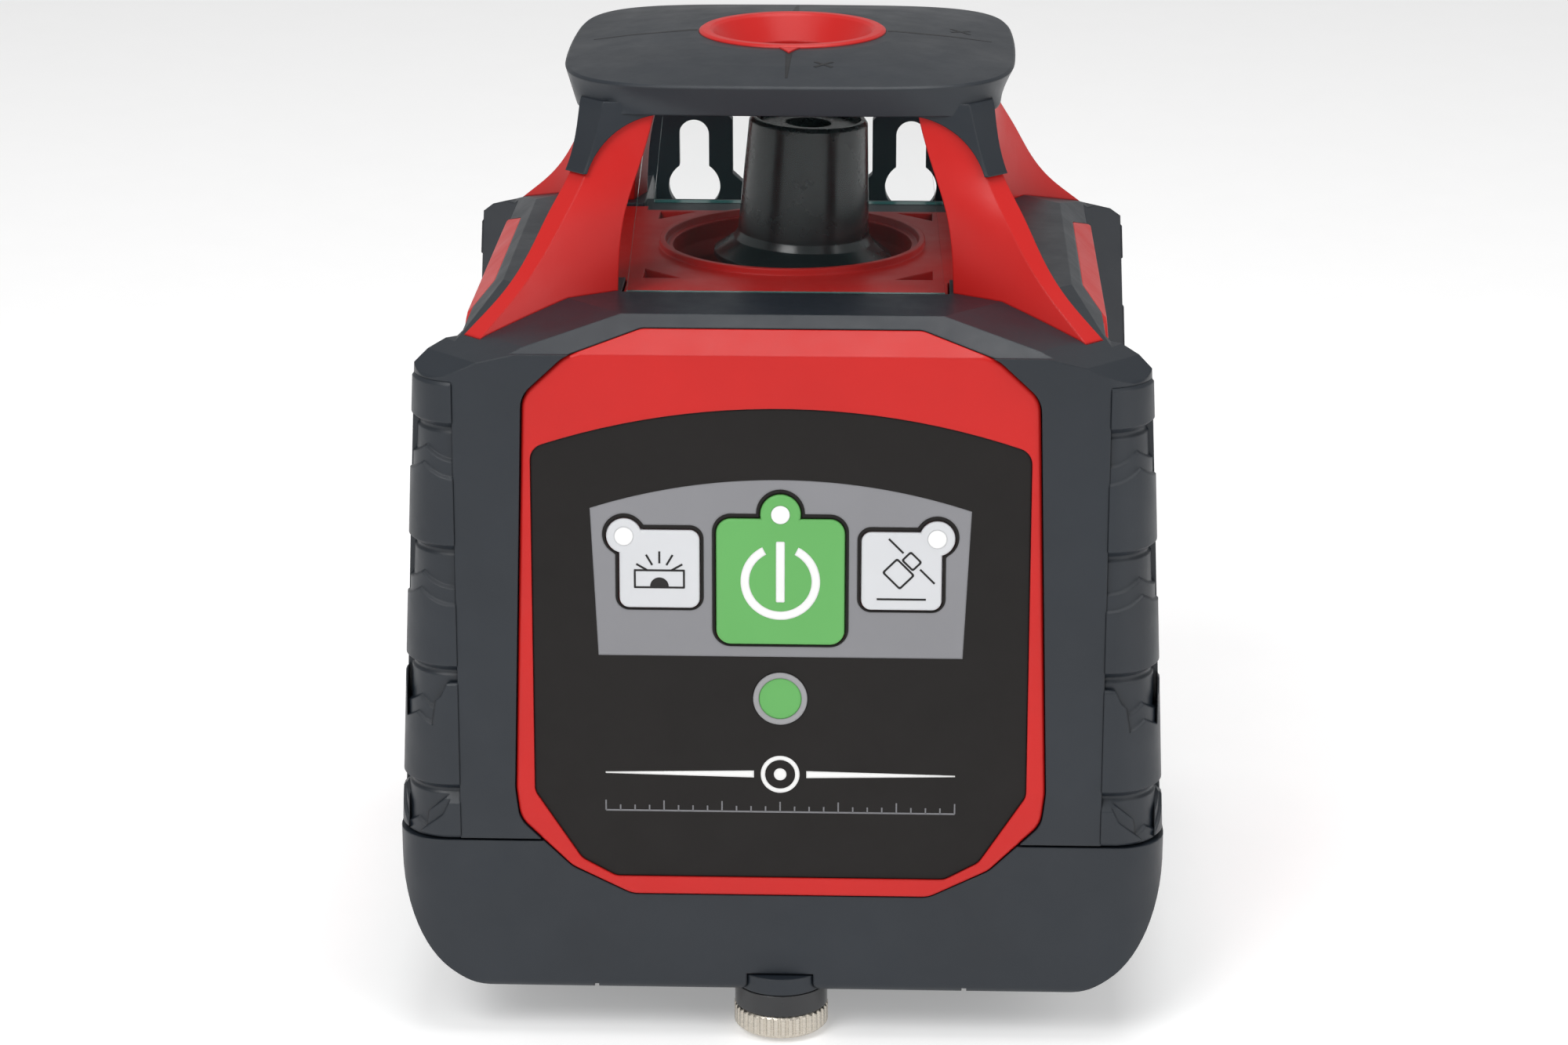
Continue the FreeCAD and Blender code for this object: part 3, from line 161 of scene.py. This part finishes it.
def metal(name, colour, rough, stretch=(1, 1, 1), grain=900.0):
    """Plated or machined metal, with fine directional marks."""
    material, nodes, links, shader = node_tree(name)
    shader.inputs["Metallic"].default_value = 1.0
    place = nodes.new("ShaderNodeTexCoord")
    mapping = nodes.new("ShaderNodeMapping")
    mapping.inputs["Scale"].default_value = stretch
    texture = nodes.new("ShaderNodeTexNoise")
    texture.inputs["Scale"].default_value = grain
    texture.inputs["Detail"].default_value = 3.0
    links.new(place.outputs["Object"], mapping.inputs["Vector"])
    links.new(mapping.outputs["Vector"], texture.inputs["Vector"])
    marks = texture.outputs["Fac"]
    darker = tuple(c * 0.8 for c in colour)
    mixed = two_tone(nodes, links, spread(nodes, links, marks, 0, 1), darker, colour)
    links.new(mixed, shader.inputs["Base Color"])
    links.new(spread(nodes, links, marks, rough - 0.06, rough + 0.1), shader.inputs["Roughness"])
    bump(nodes, links, shader, [(marks, 0.00002, 0.3)])
    return material


def clear_glass(name, tint, alpha, rough=0.03):
    """Thin clear glass: mostly see-through, with faint smears in its gloss."""
    material, nodes, links, shader = node_tree(name)
    smear = noise(nodes, links, 45.0, 4.0)
    lighter = tuple(min(1.0, c * 1.15) for c in tint)
    links.new(two_tone(nodes, links, smear, tint, lighter), shader.inputs["Base Color"])
    links.new(spread(nodes, links, smear, rough, rough + 0.06), shader.inputs["Roughness"])
    shader.inputs["Alpha"].default_value = alpha
    shader.inputs["Specular IOR Level"].default_value = 0.6
    bump(nodes, links, shader, [(smear, 0.00005, 0.04)])
    return material


def rubber_materials():
    return {
        "shell": moulded("shell_rubber", NAVY, 0.42, specular=0.5),
        "bumper": moulded("bumper_rubber", NAVY, 0.44, specular=0.5, strength=0.45),
        "base": moulded("base_rubber", NAVY, 0.45, specular=0.48),
        "foot": moulded("foot_rubber", FOOT_BLACK, 0.7, grain=1500.0, grain_depth=0.00006),
    }


def plastic_materials():
    return {
        "red": moulded("red_plastic", RED, 0.36, grain=1900.0, specular=0.35, shade=0.93),
        "red_deep": moulded("red_plastic_tray", TRAY_RED, 0.4, specular=0.35, shade=0.9),
        "green": moulded("green_key", KEY_GREEN, 0.45, grain=4200.0, grain_depth=0.00001, shade=0.95),
        "grey_key": moulded("grey_key", KEY_GREY, 0.45, grain=4200.0, grain_depth=0.00001, shade=0.96),
        "led": moulded("light_window", LIGHT_WHITE, 0.25, grain=1500.0, grain_depth=0.00001, shade=0.95),
        "ring_grey": moulded("ring_grey", RING_GREY, 0.4, grain=3000.0, shade=0.94),
        "rotor": moulded("rotor_black", ROTOR_BLACK, 0.24, grain=3800.0, grain_depth=0.000003, coat=0.3,
                         strength=0.1),
        "board": moulded("board_green", BOARD_GREEN, 0.4, grain=800.0, shade=0.7),
        "black": moulded("black_plastic", PLASTIC_BLACK, 0.45),
        "cell": moulded("cell_jacket", CELL_BLUE, 0.3, grain=500.0, shade=0.8, coat=0.3),
    }


def print_materials():
    return {
        "film": moulded("overlay_film", OVERLAY_BLACK, 0.5, grain=5000.0, grain_depth=0.000008,
                        specular=0.28),
        "field": printed_ink("field_grey_ink", FIELD_GREY, 0.5),
        "ink_white": printed_ink("white_ink", INK_WHITE),
        "ink_black": printed_ink("black_ink", INK_BLACK),
        # The cap's engraved grooves are drawn as flat dark strips of painted shade, not cut into the cap
        "shaded_groove": moulded("painted_groove_shade", GROOVE_SHADE_BLACK, 0.5, grain=3000.0),
    }


def metal_materials():
    return {
        "nickel": metal("nickel", NICKEL, 0.24, stretch=(1, 1, 6)),
        "steel": metal("steel", STEEL, 0.32),
        "aluminium": metal("aluminium", ALUMINIUM, 0.35, stretch=(1, 1, 5)),
        "brass": metal("brass", BRASS, 0.3, stretch=(1, 1, 5)),
    }


def glass_materials():
    return {
        "glass": clear_glass("pane_glass", PANE_TINT, 0.03),
        "glass_edge": clear_glass("pane_edge", PANE_EDGE_TINT, 0.8, 0.12),
        "window": clear_glass("window_glass", WINDOW_TINT, 0.9, 0.04),
    }


def make_materials():
    groups = (rubber_materials, plastic_materials, print_materials, metal_materials, glass_materials)
    table = {}
    for group in groups:
        table.update(group())
    return table


MATERIALS = make_materials()
NODE_LOOKS = {
    "shell": ["main_housing", "cap", "hanger_plate"],
    "base": ["base_housing", "battery_door"],
    "bumper": ["bumper_" + c for c in CORNERS],
    "red": ["front_panel", "left_panel", "right_panel", "rear_panel", "cap_ring"]
           + ["pillar_" + c for c in CORNERS],
    "red_deep": ["head_tray"],
    "film": ["keypad_overlay"],
    "green": ["power_key", "receiver_window"],
    "grey_key": ["tilt_key", "slope_key"],
    "led": ["power_led_window", "tilt_led_window", "slope_led_window"],
    "ring_grey": ["receiver_ring"],
    "rotor": ["rotor_head", "thumb_screw_collar"],
    "nickel": ["thumb_screw_head"],
    "steel": ["door_hinge_pin", "base_screws", "hanger_screws", "ring_pivot_pins", "barrel_pivot_pins",
              "spindle_bearings", "drive_motor", "level_motors", "level_plunger_x", "level_plunger_y",
              "key_switches"],
    "aluminium": ["gimbal_ring", "laser_barrel", "chassis"],
    "brass": ["tripod_insert", "diode_module"],
    "board": ["main_board", "keypad_board"],
    "black": ["battery_tray", "motor_pulley", "drive_belt"],
    "foot": ["rubber_feet"],
    "cell": ["battery_cells"],
    "glass": ["glass_panes", "pentaprism", "beam_window", "collimator_lens"],
    "window": ["cap_window"],
}


def dress_nodes():
    for look, nodes in NODE_LOOKS.items():
        for name in nodes:
            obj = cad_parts[name]
            for slot in obj.material_slots:
                slot.link = "OBJECT"
                slot.material = MATERIALS[look]


# ---------------------------------------------------------------- pieces


def add_piece(name, mesh, look, body, place=None):
    """Links a mesh as a piece of the object, in its place, on its body."""
    obj = bpy.data.objects.new(name, mesh)
    bpy.context.collection.objects.link(obj)
    if place is not None:
        obj.matrix_world = place
    if look:
        mesh.materials.append(MATERIALS[look])
    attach(obj, body)
    return obj


PANE_FACING = 0.9


def glass_with_edges():
    """The four panes again, with darker, greener cut edges."""
    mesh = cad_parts["glass_panes"].data.copy()
    mesh.materials.clear()
    mesh.materials.append(MATERIALS["glass"])
    mesh.materials.append(MATERIALS["glass_edge"])
    for polygon in mesh.polygons:
        normal = polygon.normal
        sideways = max(abs(normal.x), abs(normal.y))
        pane_axis_x = abs(polygon.center.x) > abs(polygon.center.y)
        along = abs(normal.x) if pane_axis_x else abs(normal.y)
        flat = along > PANE_FACING and sideways == along
        polygon.material_index = 0 if flat else 1
    obj = add_piece("lantern_panes", mesh, None, "housing")
    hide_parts("glass_panes")


SEAM_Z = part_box("main_housing")[0].z


def face_frame(node, lift=0.0):
    """From a front face's own axes (across, up the face, outwards) to the row frame, by its largest facet."""
    facets = [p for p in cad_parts[node].data.polygons if p.normal.y < -0.9]
    facet = max(facets, key=lambda p: p.area)
    out = facet.normal.copy()
    out.x = 0
    out.normalize()
    up = out.cross(Vector((1, 0, 0)))
    spot = facet.center
    y = spot.y - out.z * (SEAM_Z - spot.z) / out.y
    origin = Vector((0, y, SEAM_Z)) + out * lift
    axes = Matrix((Vector((1, 0, 0)), up, out)).transposed()
    return Matrix.Translation(origin) @ axes.to_4x4()


INK_LIFT = 0.00002
INK_THICK = 0.00004


def ink(name, node, loops, look, body, lift=INK_LIFT):
    """Printed ink as a thin closed sheet on a front face; loops inside loops are holes. Points are in mm."""
    curve = bpy.data.curves.new(name, "CURVE")
    curve.dimensions = "2D"
    curve.fill_mode = "BOTH"
    curve.extrude = INK_THICK
    for loop in loops:
        spline = curve.splines.new("POLY")
        spline.points.add(len(loop) - 1)
        for point, (x, u) in zip(spline.points, loop):
            point.co = (x * MM, u * MM, 0, 1)
        spline.use_cyclic_u = True
    outline = bpy.data.objects.new(name + "_outline", curve)
    bpy.context.collection.objects.link(outline)
    depsgraph = bpy.context.evaluated_depsgraph_get()
    mesh = bpy.data.meshes.new_from_object(outline.evaluated_get(depsgraph))
    bpy.data.objects.remove(outline)
    merge(mesh)
    mesh.materials.clear()
    return add_piece(name, mesh, look, body, face_frame(node, lift))


def merge(mesh):
    work = bmesh.new()
    work.from_mesh(mesh)
    bmesh.ops.remove_doubles(work, verts=work.verts, dist=0.000001)
    bmesh.ops.recalc_face_normals(work, faces=work.faces)
    work.to_mesh(mesh)
    work.free()


def arc(cx, cu, r, start, end, count=24):
    """Points on a circle, from one angle to another in degrees."""
    points = []
    for i in range(count + 1):
        angle = math.radians(start + (end - start) * i / count)
        points.append((cx + r * math.cos(angle), cu + r * math.sin(angle)))
    return points


def circle(cx, cu, r, count=64):
    return arc(cx, cu, r, 0, 360, count)[:-1]


def rounded_box(cx, cu, half_x, half_u, r):
    points = []
    for sx, su, start in ((1, 1, 0), (-1, 1, 90), (-1, -1, 180), (1, -1, 270)):
        points += arc(cx + sx * (half_x - r), cu + su * (half_u - r), r, start, start + 90, 8)
    return points


def stroke(x0, u0, x1, u1, width, width_end=None):
    """A straight bar from one point to another."""
    width_end = width if width_end is None else width_end
    length = math.hypot(x1 - x0, u1 - u0)
    nx, nu = -(u1 - u0) / length / 2, (x1 - x0) / length / 2
    return [(x0 + nx * width, u0 + nu * width), (x0 - nx * width, u0 - nu * width),
            (x1 - nx * width_end, u1 - nu * width_end), (x1 + nx * width_end, u1 + nu * width_end)]


def turned(points, cx, cu, degrees):
    c, s = math.cos(math.radians(degrees)), math.sin(math.radians(degrees))
    return [(cx + (x - cx) * c - (u - cu) * s, cu + (x - cx) * s + (u - cu) * c) for x, u in points]


# Keys, in face millimetres: centre, half size, corner radius, tab centre and radius
KEYS = {
    "power": ((0.0, 56.0), (13.05, 13.2), 3.0, (0.0, 70.2), 4.1),
    "tilt": ((-24.6, 58.5), (8.15, 8.15), 2.0, (-31.8, 65.4), 3.6),
    "slope": ((24.6, 58.5), (8.15, 8.15), 2.0, (31.8, 65.4), 3.6),
}


def reach_box(dx, du, half_x, half_u, r):
    """How far a ray from the centre of a rounded box goes before it leaves the box."""
    low, high = 0.0, 40.0
    for _ in range(40):
        t = (low + high) / 2
        x = max(abs(dx * t) - half_x + r, 0)
        u = max(abs(du * t) - half_u + r, 0)
        if math.hypot(x, u) <= r:
            low = t
        else:
            high = t
    return low


def reach_circle(dx, du, ox, ou, r):
    along = dx * ox + du * ou
    inside = r * r - (ox * ox + ou * ou - along * along)
    return along + math.sqrt(inside) if inside > 0 else 0.0


def key_loop(name, grow):
    """The outline of a key with its light's tab, grown outwards."""
    (cx, cu), (half_x, half_u), r, (tx, tu), tab_r = KEYS[name]
    points = []
    count = 240
    for i in range(count):
        angle = 2 * math.pi * i / count
        dx, du = math.cos(angle), math.sin(angle)
        t = max(reach_box(dx, du, half_x + grow, half_u + grow, r + grow),
                reach_circle(dx, du, tx - cx, tu - cu, tab_r + grow))
        points.append((cx + dx * t, cu + du * t))
    return points


def grey_field():
    """The light field behind the keys: an arched top, drawn-in sides and a hole for each key."""
    half_top, half_low = 38.7, 37.2
    side_u, top_u, low_u = 70.9, 77.1, 39.8
    rise = top_u - side_u
    radius = (half_top ** 2 + rise ** 2) / (2 * rise)
    spread_deg = math.degrees(math.asin(half_top / radius))
    top = arc(0, top_u - radius, radius, 90 - spread_deg, 90 + spread_deg, 40)
    outline = top + [(-half_low, low_u), (half_low, low_u)]
    line = 0.85
    holes = [key_loop(name, line) for name in KEYS]
    ink("keypad_field", "keypad_overlay", [outline] + holes, "field", "housing")


FINE_LINE = 0.4


def power_sign():
    cx, cu = KEYS["power"][0]
    outer, inner = 8.1, 6.35
    gap = 27.0
    start, end = 90 + gap, 450 - gap
    ring = arc(cx, cu, outer, start, end, 60) + arc(cx, cu, inner, end, start, 60)
    bar = rounded_box(cx, cu + 2.0, 0.9, 6.4, 0.3)
    ink("power_sign_ring", "power_key", [ring], "ink_white", "power_key")
    ink("power_sign_bar", "power_key", [bar], "ink_white", "power_key")


def tilt_sign():
    """A vial with its bubble under five short rays."""
    cx, cu = KEYS["tilt"][0]
    low = cu - 4.2
    half_x, half_u = 5.2, 2.0
    bubble_r = 1.9
    ray_in, ray_out = 2.9, 5.4
    ray_u = low + 2.4
    middle_u = low + half_u
    outside = rounded_box(cx, middle_u, half_x, half_u, 0.2)
    inside = rounded_box(cx, middle_u, half_x - FINE_LINE, half_u - FINE_LINE, 0.1)
    bubble = arc(cx, low + FINE_LINE, bubble_r, 0, 180, 16)
    ink("tilt_sign_vial", "tilt_key", [outside, inside], "ink_black", "tilt_key")
    ink("tilt_sign_bubble", "tilt_key", [bubble], "ink_black", "tilt_key")
    for i, degrees in enumerate((30, 60, 90, 120, 150)):
        c, s = math.cos(math.radians(degrees)), math.sin(math.radians(degrees))
        ray = stroke(cx + ray_in * c, ray_u + ray_in * s, cx + ray_out * c, ray_u + ray_out * s, FINE_LINE)
        ink("tilt_sign_ray_" + str(i + 1), "tilt_key", [ray], "ink_black", "tilt_key")


def frame_loops(cx, cu, half_x, half_u):
    """The outer and inner loops of a thin rounded frame."""
    outside = rounded_box(cx, cu, half_x, half_u, 0.5)
    inside = rounded_box(cx, cu, half_x - FINE_LINE, half_u - FINE_LINE, 0.3)
    return [outside, inside]


def slope_sign():
    """A tilted instrument, head up and to the right, crossed by its slanting beam, over a ground line."""
    cx, cu = KEYS["slope"][0]
    lean_deg = -45.0
    head_u = cu + 2.9
    ground_u, ground_half = cu - 6.0, 5.0
    beam_in, beam_out = 2.4, 6.6
    body = frame_loops(cx, cu - 0.9, 2.6, 2.2)
    head = frame_loops(cx, head_u, 1.7, 1.4)
    for part, loops in {"case": body, "head": head}.items():
        leaning = [turned(loop, cx, cu, lean_deg) for loop in loops]
        ink("slope_sign_" + part, "slope_key", leaning, "ink_black", "slope_key")
    for side, part in ((-1, "a"), (1, "b")):
        level = stroke(cx + side * beam_in, head_u, cx + side * beam_out, head_u, FINE_LINE)
        beam = turned(level, cx, cu, lean_deg)
        ink("slope_sign_beam_" + part, "slope_key", [beam], "ink_black", "slope_key")
    ground = stroke(cx - ground_half, ground_u, cx + ground_half, ground_u, FINE_LINE)
    ink("slope_sign_ground", "slope_key", [ground], "ink_black", "slope_key")


def beam_sign():
    """A generic picture of a level beam: a ring with a dot, beams to both sides and a ticked line."""
    cu = 14.5
    ring_out, ring_in, dot_r = 4.0, 3.1, 1.3
    beam_start, half_line = 5.4, 36.0
    ring = [circle(0, cu, ring_out), circle(0, cu, ring_in)]
    ink("beam_sign_ring", "keypad_overlay", ring, "ink_white", "housing")
    ink("beam_sign_dot", "keypad_overlay", [circle(0, cu, dot_r, 32)], "ink_white", "housing")
    for side, name in ((-1, "left"), (1, "right")):
        beam = stroke(side * beam_start, cu, side * half_line, cu, 1.5, 0.3)
        ink("beam_sign_" + name, "keypad_overlay", [beam], "ink_white", "housing")
    base_u = 6.3
    scale = stroke(-half_line, base_u, half_line, base_u, 0.35)
    ink("scale_line", "keypad_overlay", [scale], "field", "housing")
    ticks = 25
    long_every, long_tick, short_tick = 4, 2.2, 1.2
    for i in range(ticks):
        x = -half_line + 2 * half_line * i / (ticks - 1)
        tall = long_tick if i % long_every == 0 else short_tick
        tick = stroke(x, base_u, x, base_u + tall, 0.3)
        ink("scale_tick_%02d" % (i + 1), "keypad_overlay", [tick], "field", "housing")


def drape(name, node, outline, look, body, lift=0.00006, sink=0.0004):
    """A thin closed strip that follows the top surface of a node; outline is rows of (x, y) in mm."""
    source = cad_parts[node].data
    tree = BVHTree.FromPolygons([v.co for v in source.vertices], [p.vertices for p in source.polygons])
    ray_margin = 0.01
    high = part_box(node)[1].z + ray_margin
    work = bmesh.new()
    grid = []
    for row in outline:
        line = []
        for x, y in row:
            hit = tree.ray_cast(Vector((x * MM, y * MM, high)), Vector((0, 0, -1)))[0]
            top = work.verts.new(hit + Vector((0, 0, lift)))
            low = work.verts.new(hit - Vector((0, 0, sink)))
            line.append((top, low))
        grid.append(line)
    for first, second in zip(grid, grid[1:]):
        for (a, al), (b, bl), (c, cl), (d, dl) in zip(first, first[1:], second[1:], second):
            work.faces.new((a, b, c, d))
            work.faces.new((dl, cl, bl, al))
    rim = [e for e in work.edges if len(e.link_faces) == 1]
    tops = {top: low for line in grid for top, low in line}
    for e in rim:
        a, b = e.verts
        if a in tops and b in tops:
            work.faces.new((b, a, tops[a], tops[b]))
    bmesh.ops.recalc_face_normals(work, faces=work.faces)
    mesh = bpy.data.meshes.new(name)
    work.to_mesh(mesh)
    work.free()
    return add_piece(name, mesh, look, body)


def strip(x0, y0, x1, y1, wide, wide_end, rows=24):
    """Rows of three points across a straight tapering strip."""
    length = math.hypot(x1 - x0, y1 - y0)
    nx, ny = -(y1 - y0) / length / 2, (x1 - x0) / length / 2
    grid = []
    for i in range(rows + 1):
        t = i / rows
        x, y = x0 + (x1 - x0) * t, y0 + (y1 - y0) * t
        half = wide + (wide_end - wide) * t
        grid.append([(x + nx * half * k, y + ny * half * k) for k in (-1, 0, 1)])
    return grid


def cap_marks():
    """The engraved sight lines in the cap, drawn as flat dark strips of painted groove shade, the coloured
    pointer and the two axis marks.
    """
    ring_r = (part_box("cap_ring")[1].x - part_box("cap_ring")[0].x) / 2 / MM
    start = ring_r + 0.4
    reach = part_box("cap")[1].x / MM - 5.0
    line_wide, line_end = 1.6, 0.5
    for name, (dx, dy) in {"front": (0, -1), "left": (-1, 0), "right": (1, 0), "rear": (0, 1)}.items():
        far = reach - (2.0 if name in ("front", "rear") else 0.0)
        rows = strip(dx * start, dy * start, dx * far, dy * far, line_wide, line_end)
        drape("cap_line_" + name, "cap", rows, "shaded_groove", "housing", lift=0.00004)
    pointer_wide, pointer_end = 4.2, 0.15
    pointer = strip(0, -ring_r - 0.1, 0, -ring_r - 4.2, pointer_wide, pointer_end, 10)
    drape("cap_pointer", "cap", pointer, "red", "housing", lift=0.0003)
    axis_crosses()


def axis_crosses():
    """A small engraved cross beside each of two sight lines, drawn as flat dark strips of painted groove
    shade.
    """
    wide = 0.8
    for name, (x0, y0, x1, y1) in {"front": (5.6, -30.0, 9.2, -33.6), "side": (34.0, 5.0, 38.0, 8.6)}.items():
        for part, bar, lift in (("_a", (x0, y0, x1, y1), 0.00004), ("_b", (x0, y1, x1, y0), 0.00005)):
            rows = strip(*bar, wide, wide, 8)
            drape("axis_mark_" + name + part, "cap", rows, "shaded_groove", "housing", lift=lift)


# ---------------------------------------------------------------- stage, light and camera


FLOOR_GLOW = 0.3


def stage():
    """A pale floor with a faint glow of its own."""
    mesh = bpy.data.meshes.new("floor")
    half = 6.0
    corners = [(-half, -half, 0), (half, -half, 0), (half, half, 0), (-half, half, 0)]
    mesh.from_pydata(corners, [], [(0, 1, 2, 3)])
    floor = bpy.data.objects.new("floor", mesh)
    bpy.context.collection.objects.link(floor)
    paint = moulded("floor_paint", FLOOR_WHITE, 0.6, grain=60.0, shade=0.985, strength=0.02)
    shader = paint.node_tree.nodes["Principled BSDF"]
    shader.inputs["Emission Color"].default_value = (1, 1, 1, 1)
    shader.inputs["Emission Strength"].default_value = FLOOR_GLOW
    mesh.materials.append(paint)


def area_light(name, place, target, size, power):
    data = bpy.data.lights.new(name, "AREA")
    data.shape = "RECTANGLE"
    data.size, data.size_y = size
    data.energy = power
    light = bpy.data.objects.new(name, data)
    light.location = place
    aim = (Vector(target) - Vector(place)).to_track_quat("-Z", "Y")
    light.rotation_euler = aim.to_euler()
    bpy.context.collection.objects.link(light)


def lights():
    world = bpy.data.worlds.new("studio")
    world.use_nodes = True
    backdrop = world.node_tree.nodes["Background"]
    backdrop.inputs["Color"].default_value = (1, 1, 1, 1)
    backdrop.inputs["Strength"].default_value = 0.42
    bpy.context.scene.world = world
    target = (0, 0, 0.1)
    area_light("key", (-0.55, -0.9, 1.1), target, (0.7, 0.7), 9.5)
    area_light("fill", (0.9, -0.7, 0.6), target, (0.7, 0.9), 3.5)
    area_light("top", (0.1, 0.0, 1.35), target, (0.9, 0.6), 6.5)
    bpy.context.scene.view_settings.view_transform = "Standard"


LENS_PX = 4966.0
PITCH = math.radians(17.95)
AZIMUTH = math.radians(1.8)
DISTANCE = 0.825
EYE_HEIGHT = 0.356
IMAGE_W = 2000.0
AXIS_SHIFT_PX = 11.5
SENSOR = 36.0


def camera():
    data = bpy.data.cameras.new("camera")
    data.sensor_width = SENSOR
    data.lens = LENS_PX * SENSOR / IMAGE_W
    data.clip_start = 0.05
    cam = bpy.data.objects.new("camera", data)
    eye = Vector((math.sin(AZIMUTH) * DISTANCE, -math.cos(AZIMUTH) * DISTANCE, EYE_HEIGHT))
    yaw = AZIMUTH + math.atan(AXIS_SHIFT_PX * math.cos(PITCH) / LENS_PX)
    forward = Vector((-math.sin(yaw) * math.cos(PITCH), math.cos(yaw) * math.cos(PITCH), -math.sin(PITCH)))
    cam.location = eye
    cam.rotation_euler = forward.to_track_quat("-Z", "Y").to_euler()
    bpy.context.collection.objects.link(cam)
    bpy.context.scene.camera = cam


camera()
lights()
stage()
dress_nodes()
glass_with_edges()
grey_field()
power_sign()
tilt_sign()
slope_sign()
beam_sign()
cap_marks()
